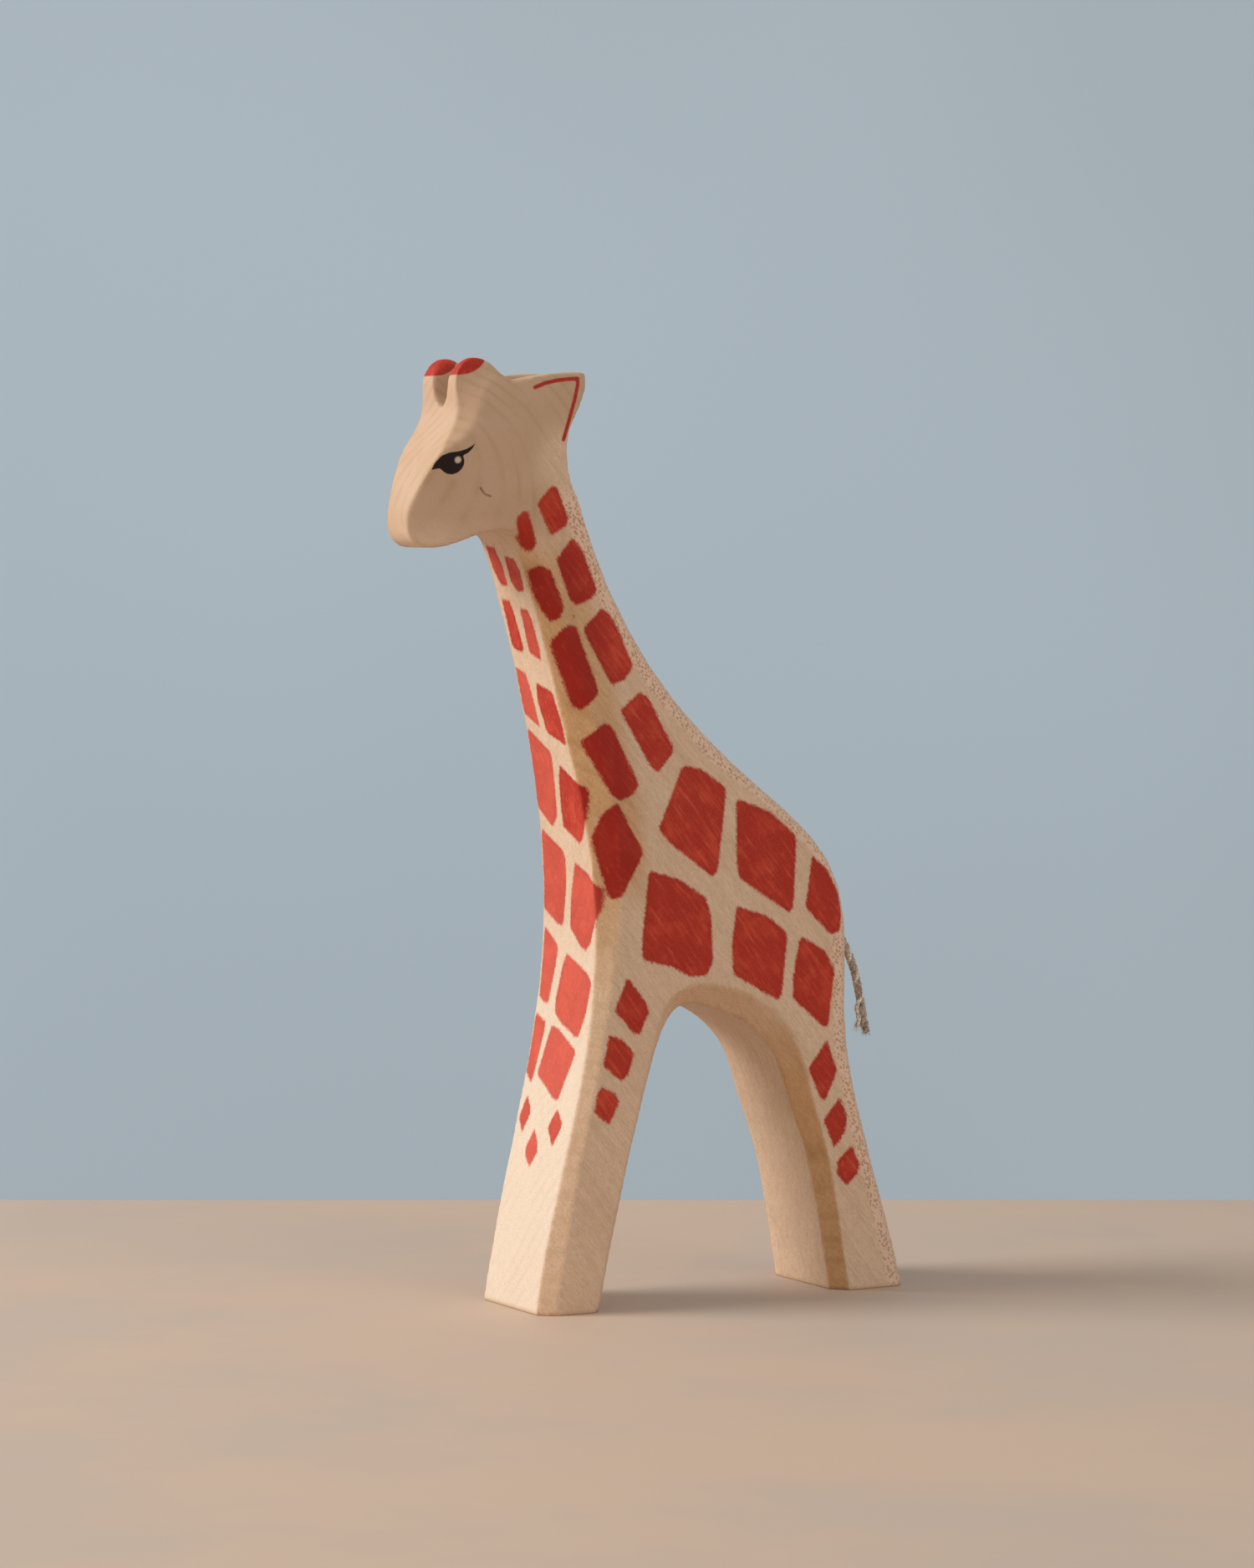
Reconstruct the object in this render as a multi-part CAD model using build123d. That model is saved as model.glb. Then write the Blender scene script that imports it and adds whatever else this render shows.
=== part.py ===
from build123d import *
from math import radians, tan
import os

os.makedirs("parts", exist_ok=True)

# A standing giraffe figure, sawn and carved from one plank, with a cord tail glued into a drilled socket.
# It faces -Y, its left side is +X, +Z is up, and the origin is under the middle of the figure, on the surface
# that it stands on.  Millimetres.

# ---- driving dimensions

HEIGHT = 175.0
PLANK = 26.0                    # thickness of the plank
HALF_PLANK = PLANK / 2
EARS = 10.3                     # half-width of the head at the ears
NECK = 9.6                      # half-width of the neck under the head
SHOULDER_Z = 78.0               # the plank keeps its full thickness up to here
BACK_EASE = 1.6                 # depth of the narrow facet down the back

EAR_HOLLOW_R = 6.5              # gouged hollow between the ears
EAR_HOLLOW_Z = 175.2            # height of the gouge's axis at the horns
EAR_HOLLOW_FALL = 0.12          # slope of the hollow towards the back of the head

CORD_R = 0.8                    # tail cord
SOCKET_R = 1.05                 # drilled hole that the tail is glued into
SOCKET_DEPTH = 8.0
MOUTH_R = 1.7                   # countersink at the mouth of the hole
MOUTH_DEPTH = 0.65
GLUE_BELOW_ROOT = 0.6           # glue between the cord's end and the bottom of the hole
ROOT_GAP = 0.05                 # between the cord's rounded pivot and its glued root
ARC_SHARE = 0.45                # share of the shorter run that each bend of the cord takes up

REACH = 30.0                    # how far a cutting tool stands clear of the wood
OVERCUT = 3.0                   # how far a facet's cut runs past its own edges

BACKWARDS = Vector(0, 1, 0)

# ---- side view: the outline that the band saw follows, as (y, z)

# both legs start below the standing surface, and are sawn off at it
front = Spline((-28.2, -3), (-23.2, 23), (-18.2, 44.7), (-15.4, 66), (-16.5, 88.5), (-20.6, 108.5), (-25.0, 126),
               (-30.0, 141.0))
jaw_and_face = Spline((-30.0, 141.0), (-32.6, 143.5), (-38.0, 142.9), (-45.6, 140.5), (-49.4, 141.6),
                      (-50.8, 145.6), (-49.5, 150.6), (-45.0, 159.2), (-42.2, 164.3), (-41.9, 168.0))
horn = Spline((-41.9, 168.0), (-41.4, 172.6), (-38.4, HEIGHT), (-34.6, 173.6), (-31.2, 170.8),
              tangents=[(0, 1), (1, -0.5)])
ear_top = Spline((-31.2, 170.8), (-26.0, 172.0), (-18.2, 172.6))
ear_back = Spline((-18.2, 172.6), (-18.2, 168.9), (-20.3, 162.6), (-20.7, 156.5), (-18.4, 149.5))
neck_and_back = Spline((-18.4, 149.5), (-11.2, 133.1), (-1.4, 116.6), (11.6, 102.4), (24.7, 91.6), (33.6, 82.4),
                       (37.3, 73.0), (37.9, 60.6), (38.2, 48.0), (41.4, 32.7), (46.0, 17.0), (51.53, -3))
hind_foot = Line((51.53, -3), (35.8, -3))
arch = Spline((35.8, -3), (32.6, 15.6), (29.4, 28.5), (26.4, 36.5), (22.6, 46.0), (16.5, 51.8), (8.6, 55.0),
              (2.6, 55.4), (-1.4, 51.3), (-5.2, 42.0), (-9.2, 27.3), (-11.6, 17.4), (-16.0, -3))
front_foot = Line((-16.0, -3), (-28.2, -3))

outline = make_face(Curve() + [front, jaw_and_face, horn, ear_top, ear_back, neck_and_back, hind_foot, arch,
                               front_foot])
half_blank = extrude(Plane.YZ * outline, amount=PLANK)

# ---- front view: the full plank in the body, thinned from the shoulder to the head

side_line = Spline((HALF_PLANK, SHOULDER_Z), (11.9, 104), (NECK + 0.5, 128), (NECK, 141), (EARS, 156),
                   (EARS, HEIGHT + OVERCUT), tangents=[(0, 1), (0, 1)])
half_view = make_face(Polyline((HALF_PLANK, SHOULDER_Z), (HALF_PLANK, 0), (0, 0), (0, HEIGHT + OVERCUT),
                               (EARS, HEIGHT + OVERCUT)) + side_line)
half_thickness = extrude(Plane.XZ.offset(3 * REACH) * half_view, amount=-6 * REACH)
half = half_blank & half_thickness


# ---- facets: each one planes off the edge between a sawn face and the plank's side

def facet_section(face_half, side_half, y, z, inset, into, clear=10):
    """The triangle that a facet takes off one edge, from face_half out on the face to inset deep on the side."""
    on_face = Vector(face_half, y, z)
    on_side = Vector(side_half, y, z) + into * inset
    along = (on_side - on_face).normalized() * OVERCUT
    outside = Vector(side_half + clear, y, z) - into * clear
    return make_face(Polyline(on_face - along, on_side + along, outside, close=True))


def plane_off(solid, sections):
    return solid - loft(sections, ruled=True)


def closer_together(rows, steps):
    """The same rows with more of them in between, each number on a smooth curve through the given ones."""
    def slope(at):
        before, after = rows[max(at - 1, 0)], rows[min(at + 1, len(rows) - 1)]
        return [(b - a) / (after[0] - before[0]) for a, b in zip(before, after)]

    dense = [rows[0]]
    for at in range(len(rows) - 1):
        here, there, run = rows[at], rows[at + 1], rows[at + 1][0] - rows[at][0]
        for step in range(1, steps + 1):
            t = step / steps
            leave, arrive = t * (1 - t) ** 2 * run, -t * t * (1 - t) * run
            blend = t * t * (3 - 2 * t)
            dense.append(tuple(a + (b - a) * blend + out * leave + into * arrive
                               for a, b, out, into in zip(here, there, slope(at), slope(at + 1))))
    return dense


def section_along(edge, place, face_half, side_half, inset):
    """A facet's triangle square across an outline edge, at a place from 0 to 1 along it."""
    at = edge @ place
    run = edge % place
    return facet_section(face_half, side_half, at.X, at.Y, inset, Vector(0, run.Y, -run.X), clear=3)


# breast and front leg: height, half-width of the front face and of the side, y of the face, depth of the facet
BREAST = [(-1, 10.7, 13, -27.8, 2.8), (23, 10.6, 13, -23.2, 2.6), (44.7, 10.8, 13, -18.2, 2.5),
          (62, 10.5, 13, -15.5, 2.8), (76, 10.0, 13, -15.5, 4.6), (90, 9.1, 12.8, -16.8, 5.4),
          (106, 7.7, 11.7, -20.0, 5.0), (120, 7.0, 10.6, -23.4, 4.0), (134, 6.8, 9.8, -27.3, 3.0),
          (143, 6.7, 9.8, -30.6, 2.6)]
half = plane_off(half, [facet_section(face, side, y, z, inset, BACKWARDS) for z, face, side, y, inset in BREAST])

# muzzle, brow and horns: height, half-width of the face, y of the face, how far back the side is planed
FACE = [(137, 3.6, -51.0, 19), (145.6, 4.1, -50.9, 19), (151, 5.6, -49.5, 17), (156, 7.6, -46.9, 13),
        (161, 9.3, -44.2, 9), (166, 8.8, -42.2, 12), (171, 7.6, -41.9, 16), (178, 5.0, -41.9, 18)]
half = plane_off(half, [facet_section(face, EARS, y, z, inset, BACKWARDS) for z, face, y, inset in FACE])

# hind leg's front edge, arch and front leg's rear edge: place along the arch from the hind foot, half-width of the
# face, depth of the facet
ARCH_FACET = [(0.0, 10.0, 2.6), (0.13, 10.0, 2.7), (0.26, 10.0, 3.2), (0.36, 10.0, 4.2), (0.45, 10.0, 4.8),
              (0.52, 10.2, 4.2), (0.57, 10.8, 3.0), (0.61, 11.6, 1.6), (0.66, 12.0, 1.0), (0.8, 12.0, 1.0),
              (1.0, 12.0, 1.0)]
half = plane_off(half, [section_along(arch, place, face, HALF_PLANK, inset)
                        for place, face, inset in closer_together(ARCH_FACET, 3)])

# narrow facet down the neck, back and hind leg: place along that edge, half-width of the side, depth of the facet
BACK_FACET = [(0.0, 9.9, 0.3), (0.1, 9.8, BACK_EASE), (0.2, 10.7, BACK_EASE), (0.3, 11.7, BACK_EASE),
              (0.4, 12.4, BACK_EASE), (0.5, 13, BACK_EASE), (0.6, 13, BACK_EASE), (0.7, 13, BACK_EASE),
              (0.85, 13, BACK_EASE), (1.0, 13, BACK_EASE)]
half = plane_off(half, [section_along(neck_and_back, place, side - inset, side, inset)
                        for place, side, inset in closer_together(BACK_FACET, 3)])
carving = half + mirror(half, Plane.YZ)
print("carving", carving.is_valid, carving.volume, len(carving.solids()))

# ---- the top of the head: a notch between the horns and a hollow between the ears

NOTCH = [(-3.4, HEIGHT + OVERCUT), (-2.6, 169.6), (-1.6, 167.2), (0, 166.2), (1.6, 167.2), (2.6, 169.6),
         (3.4, HEIGHT + OVERCUT)]
notch_face = make_face(Curve() + [Spline(*NOTCH), Line(NOTCH[-1], NOTCH[0])])
notch = extrude(Plane.XZ.offset(30) * notch_face, amount=16)
ear_hollow = Plane(origin=(0, -33, EAR_HOLLOW_Z), x_dir=(1, 0, 0), z_dir=(0, 1, -EAR_HOLLOW_FALL)) * Cylinder(
    EAR_HOLLOW_R, REACH, align=(Align.CENTER, Align.CENTER, Align.MIN))
carving = carving - notch - ear_hollow

# ---- the tail's socket, and the route of the tail: out of the mouth, over its own bend and down

MOUTH = Vector(0, 37.4, 72.5)
INTO_RUMP = Plane(origin=MOUTH, x_dir=(1, 0, 0), z_dir=(0, -1, 0))
FROM_MOUTH = (Align.CENTER, Align.CENTER, Align.MIN)

carving = carving - INTO_RUMP * Cylinder(SOCKET_R, SOCKET_DEPTH, align=FROM_MOUTH)
carving = carving - INTO_RUMP * Cone(MOUTH_R, SOCKET_R, MOUTH_DEPTH, align=FROM_MOUTH)
carving = carving - INTO_RUMP.offset(-2) * Cylinder(MOUTH_R, 2, align=FROM_MOUTH)

ROOT_TOP = CORD_R + ROOT_GAP
ROOT_LENGTH = SOCKET_DEPTH - GLUE_BELOW_ROOT - ROOT_TOP
tail_root = INTO_RUMP.offset(ROOT_TOP) * Cylinder(CORD_R, ROOT_LENGTH, align=FROM_MOUTH)
glue = INTO_RUMP.offset(ROOT_TOP) * Cylinder(SOCKET_R, SOCKET_DEPTH - ROOT_TOP, align=FROM_MOUTH) - tail_root

TAIL_ROUTE = [MOUTH, Vector(0, 41.4, 72.3), Vector(0.1, 44.6, 69.4), Vector(0.3, 45.3, 64.6),
              Vector(0.4, 47.2, 58.6), Vector(0.1, 48.3, 53.0), Vector(-0.3, 49.9, 47.3)]


def bend_radii(points):
    """The largest even bend at each corner: each arc takes up ARC_SHARE of the shorter run beside it."""
    radii = []
    for before, corner, after in zip(points, points[1:], points[2:]):
        run_in = corner - before
        run_out = after - corner
        half_turn = radians(run_in.get_angle(run_out)) / 2
        radii.append(ARC_SHARE * min(run_in.length, run_out.length) / tan(half_turn))
    return radii


radii = bend_radii(TAIL_ROUTE)
tail_path = FilletPolyline(*TAIL_ROUTE, radius=radii)
tail_start = Plane(origin=MOUTH, z_dir=TAIL_ROUTE[1] - MOUTH)
tail_tube = sweep(tail_start * Circle(CORD_R), path=tail_path)
tail_cord = tail_tube + Pos(*MOUTH) * Sphere(CORD_R)

print("tail bend radii", [round(radius, 1) for radius in radii])
print("tail length", round(tail_path.length, 2), "tube volume", round(tail_tube.volume, 3),
      "section x length", round(Circle(CORD_R).area * tail_path.length, 3))

# ---- one STEP for each piece

NODES = {"carving": carving, "tail_cord": tail_cord, "tail_root": tail_root, "socket_glue": glue}
for name, solid in NODES.items():
    solid.label = name
    export_step(solid, f"parts/{name}.step")
    print(name, solid.is_valid, len(solid.solids()), round(solid.volume, 2), solid.bounding_box())
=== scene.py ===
"""A carved and painted wooden giraffe figure with a cord tail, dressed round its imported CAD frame."""
import math
import random

import bmesh
import bpy
import numpy as np
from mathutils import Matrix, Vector


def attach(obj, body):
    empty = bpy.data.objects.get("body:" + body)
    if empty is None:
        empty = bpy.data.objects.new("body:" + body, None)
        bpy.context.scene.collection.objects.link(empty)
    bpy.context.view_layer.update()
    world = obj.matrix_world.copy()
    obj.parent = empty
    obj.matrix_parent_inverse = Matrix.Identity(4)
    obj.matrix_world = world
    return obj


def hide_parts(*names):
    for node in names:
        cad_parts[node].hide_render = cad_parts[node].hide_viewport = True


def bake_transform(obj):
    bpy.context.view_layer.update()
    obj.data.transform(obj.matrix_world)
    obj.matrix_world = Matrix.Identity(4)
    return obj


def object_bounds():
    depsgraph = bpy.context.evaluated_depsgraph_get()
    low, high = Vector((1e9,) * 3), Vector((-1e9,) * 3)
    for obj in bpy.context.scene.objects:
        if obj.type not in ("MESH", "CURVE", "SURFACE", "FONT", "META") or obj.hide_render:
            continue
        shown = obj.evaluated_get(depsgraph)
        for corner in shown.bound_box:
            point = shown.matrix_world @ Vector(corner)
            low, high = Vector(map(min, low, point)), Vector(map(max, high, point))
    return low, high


bl_info = {
    "name": "Carved giraffe",
    "version": (1, 0, 0),
    "blender": (4, 5, 0),
    "location": "View3D > Sidebar > Giraffe",
    "description": "Builds a carved and painted wooden giraffe with a cord tail, on a soft studio stage",
    "category": "Object",
}

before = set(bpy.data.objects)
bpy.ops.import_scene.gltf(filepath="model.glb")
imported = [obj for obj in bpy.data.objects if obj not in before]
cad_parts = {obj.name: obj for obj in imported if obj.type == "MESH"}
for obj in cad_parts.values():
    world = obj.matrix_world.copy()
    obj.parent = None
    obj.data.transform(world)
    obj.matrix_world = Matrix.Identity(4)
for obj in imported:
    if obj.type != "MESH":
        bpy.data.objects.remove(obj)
CAD_BOX = [list(corner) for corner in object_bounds()]
MM = 0.001
SEED = 11
OUTSIDE = -9.0

# ---- the painter's pattern, in millimetres

# patches on a side, as (y, z): neck, shoulder, barrel, rump and legs, from the head down
SIDE_PATCHES = [
    [(-29.7, 147.4), (-28.6, 147), (-27.6, 144), (-26.8, 141.4), (-27.6, 139.8), (-28.6, 140),
     (-29.7, 141.7), (-31.2, 144.4), (-31.1, 146.2)],
    [(-24, 152), (-22.8, 151.4), (-20.4, 145.8), (-20.8, 144.5), (-24, 142.6), (-27.2, 148.6)],
    [(-27.7, 136.5), (-26.1, 137.5), (-24, 136.5), (-21.4, 129.9), (-22.2, 127.7), (-23.6, 126.9),
     (-25.4, 129.6), (-26.8, 133)],
    [(-19.6, 142.5), (-17.5, 140.3), (-14.4, 132.8), (-15.5, 131.3), (-18.7, 129.8), (-20.2, 131),
     (-23, 138.3)],
    [(-20.3, 126.7), (-19, 126), (-14.7, 114), (-18, 110.7), (-19.5, 111.5), (-23.5, 123.3),
     (-21.8, 125.8)],
    [(-13.7, 129.5), (-12.3, 128.8), (-10, 125), (-7.4, 118.6), (-9.3, 116.3), (-12.2, 115.2),
     (-17.9, 125.6)],
    [(-6.4, 114.1), (-4.6, 113.2), (0.7, 103), (-3, 99), (-4.4, 99.8), (-10.7, 110.6)],
    [(-14.3, 108.6), (-12.4, 108), (-7.1, 97), (-8.6, 95), (-11.5, 94), (-13, 95.3), (-18, 105)],
    [(-11.9, 94), (-6.3, 84.5), (-11, 76.4), (-12.6, 75.9), (-13.4, 77), (-15.9, 87.2), (-14.2, 91.8)],
    [(2.3, 100.5), (6.4, 99.4), (11.5, 96), (9.2, 80.3), (8, 79.4), (-1, 86), (-3.4, 88.7)],
    [(13.3, 94), (20.5, 91.4), (26.4, 86.5), (25.6, 73), (24.8, 72), (13.8, 79), (13.2, 82)],
    [(29.6, 83), (32.8, 80.2), (36, 75), (36.4, 72), (35.8, 68.2), (33.8, 67.5), (28.1, 73), (28.6, 76)],
    [(-5.5, 81.3), (1.4, 79.2), (6.8, 75.6), (7.9, 72), (8.4, 63.7), (7, 61.2), (3.5, 61), (-0.5, 63),
     (-6.8, 64.6), (-7, 67)],
    [(13.2, 74), (20, 71.8), (24.4, 68.4), (23.2, 57), (22.2, 55.8), (12.5, 61), (12.2, 67)],
    [(27, 67.8), (32.5, 64.9), (34.7, 61), (33.3, 50.2), (32.2, 50.3), (25.5, 55.9), (25.4, 60)],
    [(-9.9, 61.7), (-5.7, 56.6), (-5.4, 54.8), (-7.3, 51), (-8.5, 51), (-12.7, 55.5)],
    [(-13.8, 51.3), (-11, 50.3), (-8.4, 47.6), (-9.7, 43.5), (-11.2, 42.4), (-15.1, 45.5)],
    [(-15.4, 41.8), (-12.3, 40.3), (-11.6, 38.6), (-13.8, 34.4), (-17, 37), (-16.4, 40.4)],
    [(33, 48.1), (35.4, 41.9), (32.7, 36.5), (31.6, 36.6), (28.8, 42.7)],
    [(35.8, 37), (37.6, 33), (37, 30), (34.6, 27.2), (32.1, 32.7)],
    [(38.6, 27.7), (40.4, 23.7), (39.8, 22), (37.4, 19.8), (35.2, 22.3), (35.2, 24.9)],
]

# patches on the front, as (x, z): two columns from the throat down, then three small ones
FRONT_PATCHES = [
    [(-5, 141), (-1.8, 140.6), (-0.9, 137.4), (-1.2, 133.4), (-3.9, 133.5), (-5.2, 136.6)],
    [(1, 139.1), (4.5, 138.6), (5.4, 136.2), (4.8, 132.6), (2, 132.3), (0.4, 134.4)],
    [(-5.2, 131.1), (-2.4, 130.8), (-1.8, 129.2), (-1.4, 121.8), (-2.5, 121.1), (-4.4, 121.4),
     (-5.9, 122.5)],
    [(0.9, 129.6), (3.8, 129.2), (4.5, 127.4), (4.9, 122), (4.3, 119.6), (0.3, 121.1)],
    [(-6.7, 118.6), (-3.1, 117.3), (-2.3, 114.6), (-1.6, 107), (-7, 109.7)],
    [(0.3, 115.7), (5.9, 114.1), (7, 109), (7.2, 104), (0.5, 106.4), (-0.6, 112.2)],
    [(-7.2, 107.3), (0.6, 102.7), (-1.5, 90.7), (-3.9, 88.5), (-8.9, 92.2)],
    [(2.9, 100.6), (9.5, 96.8), (9.9, 95.5), (9.3, 90.5), (7.4, 87), (5.9, 86), (0.2, 88.8), (0.3, 92),
     (1.5, 98)],
    [(-8.8, 88.3), (-1.2, 84.6), (-0.2, 83), (-0.6, 77.5), (-2.2, 70.2), (-4.4, 70.4), (-10, 73)],
    [(3.2, 82.6), (8.2, 80.6), (11.2, 77.8), (11, 74), (8.6, 67.7), (6.7, 66.2), (4.6, 66.9), (0.4, 70.2),
     (1.2, 77)],
    [(-9.7, 69.9), (-4.7, 67), (-3.9, 65.6), (-6.1, 55.4), (-8, 55.5), (-10, 56.6)],
    [(-0.4, 65.4), (7.9, 62.3), (9.8, 60.6), (9, 55), (7.3, 50.5), (6, 50.2), (-0.6, 52.4), (-3.1, 54),
     (-3.5, 56.4), (-2, 62.9)],
    [(-10.4, 53.7), (-5.8, 52), (-7.7, 40.3), (-10.7, 42.4)],
    [(-3.6, 51.8), (-0.6, 51.2), (7.1, 47.8), (3.6, 38.4), (1.8, 38.4), (-6.4, 42.4)],
    [(-8.4, 38.3), (-6.4, 36.5), (-5.8, 35), (-7.5, 31.2), (-9.9, 34.1)],
    [(-3.1, 32.8), (-0.8, 30.4), (-0.1, 28.5), (-2, 25.5), (-4.4, 27.2), (-5, 28.8)],
    [(3.9, 37.1), (6.9, 34.8), (6.8, 33.2), (4.9, 29.9), (1.8, 33.3)],
]

# the painted eye on each side of the head, as (y, z): lash and iris in one outline, and a highlight
EYE = [(-47.1, 154.6), (-46.5, 156.0), (-45.5, 157.2), (-44.1, 157.8), (-42.4, 158.0), (-41.1, 158.4),
       (-40.2, 158.9), (-39.3, 159.6), (-39.9, 158.5), (-40.6, 157.75), (-41.6, 157.2), (-41.25, 156.4),
       (-41.3, 155.5), (-41.7, 154.7), (-42.4, 154.1), (-43.3, 153.8), (-44.2, 153.9), (-44.9, 154.3),
       (-45.6, 154.9), (-46.3, 154.8)]
EYE_LIGHT = (-42.45, 156.45)
EYE_LIGHT_RADIUS = 0.6

# the line painted inside each ear's rim, as (y, z)
EAR_LINE = [(-27.6, 169.6), (-25.6, 170.4), (-23.3, 170.9), (-20.9, 171.2), (-18.8, 171.3),
            (-18.9, 170.0), (-19.4, 167.9), (-20.2, 165.3), (-21.0, 162.7), (-21.8, 160.2)]
EAR_LINE_HALF = 0.38

# the red caps on the horns, as (y, z)
HORN_CAP = [(-60, 171.8), (-41, 171.8), (-39.6, 172.0), (-38.4, 172.5), (-37.4, 173.2), (-36.5, 174.2),
            (-35, 178), (-60, 178)]

# the breast's edge from the forefoot to the throat, as (y, z)
BREAST_LINE = [(-28.2, -3), (-23.2, 23), (-18.2, 44.7), (-15.4, 66), (-16.5, 88.5), (-20.6, 108.5),
               (-25.0, 126), (-30.0, 141.0)]

# the brow and the horns' front edge, as (z, y), the half-width of its corners, as (z, x), and how deep
# each corner is planed, as (z, depth)
BROW_LINE = [(155, -47.4), (160, -44.5), (164, -42.3), (168, -41.9), (172, -41.6), (174, -40.4),
             (175, -38.6)]
BROW_CORNER = [(155, 8.4), (164, 7.7), (170, 7.5), (175, 7.5)]
BROW_PLANED = [(156, 0), (161, 0.7), (166, 1.1), (173, 1.1), (175, 0.8)]
# how many degrees the planed corner faces forwards, as (z, degrees)
BROW_TURN = [(158, 38), (165, 38), (168, 30), (172, 18)]
# the right horn's corner is planed less than the left one's
RIGHT_HORN_SHARE = 0.4

# the back's edge from the ear to the hind foot, as (y, z)
BACK_LINE = [(-20.7, 157), (-18.4, 149.5), (-11.2, 133.1), (-1.4, 116.6), (11.6, 102.4), (24.7, 91.6),
             (33.6, 82.4), (37.3, 73.0), (37.9, 60.6), (38.2, 48.0), (41.4, 32.7), (46.0, 17.0),
             (51.0, -1)]

# small brown flaws in the wood, as strokes of (x, y, z) points
FLAWS = [[(8.8, -38.0, 151.4), (9.0, -37.4, 150.4), (9.1, -36.8, 150.1), (9.2, -36.2, 149.9)],
         [(10.1, -19.6, 128.2), (10.1, -19.4, 127.8)],
         [(10.3, -15.2, 71.5), (10.4, -15.2, 70.7)]]
FLAW_HALF = 0.24

# where the sanding and the colours start and end, in millimetres, as (start, end) of each gradual change
SOLE = 0.08
BREAST_START = (64.0, 88.0)
BREAST_OFF_BACK = (4.0, 8.0)
BREAST_STOP = (160.0, 166.0)
BROW_START = (143.0, 148.0)
BROW_STOP = (165.0, 171.0)
BROW_OFF_EARS = (-36.0, -31.0)
PLANED_FRONT = -34.0
THROAT = (0, -27.5, 139.5)
THROAT_REACH = (3.0, 7.5)
HORN_START = (169.0, 174.5)
HORN_OFF_EARS = (-36.0, -30.0)
EAR_RISE = (159.0, 170.0)
EAR_RUN = (-26.0, -18.0)
EAR_FLARE = 1.1
EAR_EDGE_RISE = (156.0, 159.0)
EAR_EDGE_RUN = (-25.0, -21.5)
HEAD_TOP = (158.0, 160.0)

# a horn's top falls away from these half-widths, over these widths: towards the notch, and outwards
HORN_INNER = 5.0
HORN_INNER_RUN = 1.8
HORN_OUTER = 6.6
HORN_OUTER_RUN = 1.3

# faint waves over the wood: turns along y, z and x in radians per millimetre, and a start
WAVES = [(0.31, 0.22, 0.4, 0.3), (0.17, 0.41, 0.2, 1.9), (0.52, 0.12, 0.3, 4.1), (0.09, 0.63, 0.5, 2.6)]

# boxes round the painted details, where the mesh is finer, in millimetres
EYE_BOX = ((-11, -49, 152.5), (11, -38, 160.5))
EAR_AND_CHEEK_BOXES = [((9, -29, 158.5), (11, -17, 173)), ((-11, -29, 158.5), (-9, -17, 173)),
                       ((8, -39, 148.5), (10, -35, 152.5))]

# a patch's corners are cut by this share of its edges, and its map reaches this far outside it
PATCH_CORNER = 0.07
PATCH_MARGIN = 1.5

# how far a patch on the right side may move, and each of its corners
PATCH_SHIFT = 0.5
CORNER_SHIFT = 0.3

# how near the middle of the plank a side's patch may reach, and how far back the front's
SIDE_FROM_MIDDLE = 3.5
FRONT_BACK_LIMIT = -8.0

# how worn the front's patches are, and how much more below this height
FRONT_WORN = 0.9
LOW_FRONT_WORN = 0.5
LOW_FRONT_Z = 90

# how much the growth rings lean, by height in millimetres
RING_LEAN = [(0, 0.7), (95, 0.7), (135, 0.3), (142, 0.0), (152, 0.0), (176, 1.3)]

# the free cord's route, metres: straight out of its hole, over and down
TAIL_ROUTE = [(0, 0.0374, 0.0725), (0, 0.0397, 0.0724), (0, 0.0417, 0.0702), (0.0001, 0.0430, 0.0672),
              (0.0003, 0.0449, 0.0636), (0.0004, 0.0465, 0.0600), (0.0002, 0.0476, 0.0562),
              (0.0001, 0.0485, 0.0522), (-0.0003, 0.0497, 0.0473)]
TAIL_POINT_GAP = 0.0003
# the pale ply parts from the others along this share of the tail, this far aside, and ends a little short
PLY_PARTS = (0.66, 1.05)
PLY_ASIDE = (0.0004, -0.0021, 0.0)
PALE_PLY_SHARE = 0.965
FRAY_RADIUS = 0.00004
HAIR_RADIUS = 0.00002

# ---- the camera and the stage, in degrees, metres and lens millimetres

AZIMUTH = 61.0
LOOKING_DOWN = 3.2195
LENS = 115.2
SENSOR = 36.0
CAMERA_ASIDE = (-0.0012, -0.0022)
TABLE_TOWARDS = 2.2
TABLE_HALF = 1.6
WALL_BEHIND = 1.6
WALL_HALF_HEIGHT = 1.6
STAGE_STEPS = 8
LIT_POINT = (0, 0, 0.09)


# ---- what a user can change

def length(name, description, default, low=0.0, high=10.0):
    return bpy.props.FloatProperty(name=name, description=description, default=default, min=low, max=high,
                                   subtype="DISTANCE", unit="LENGTH", precision=5)


def amount(name, description, default, low=0.0, high=1000.0):
    return bpy.props.FloatProperty(name=name, description=description, default=default, min=low, max=high)


def count(name, description, default, low=1, high=1000):
    return bpy.props.IntProperty(name=name, description=description, default=default, min=low, max=high)


def colour(name, description, default):
    return bpy.props.FloatVectorProperty(name=name, description=description, default=default,
                                         min=0.0, max=1.0, size=3, subtype="COLOR")


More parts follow.
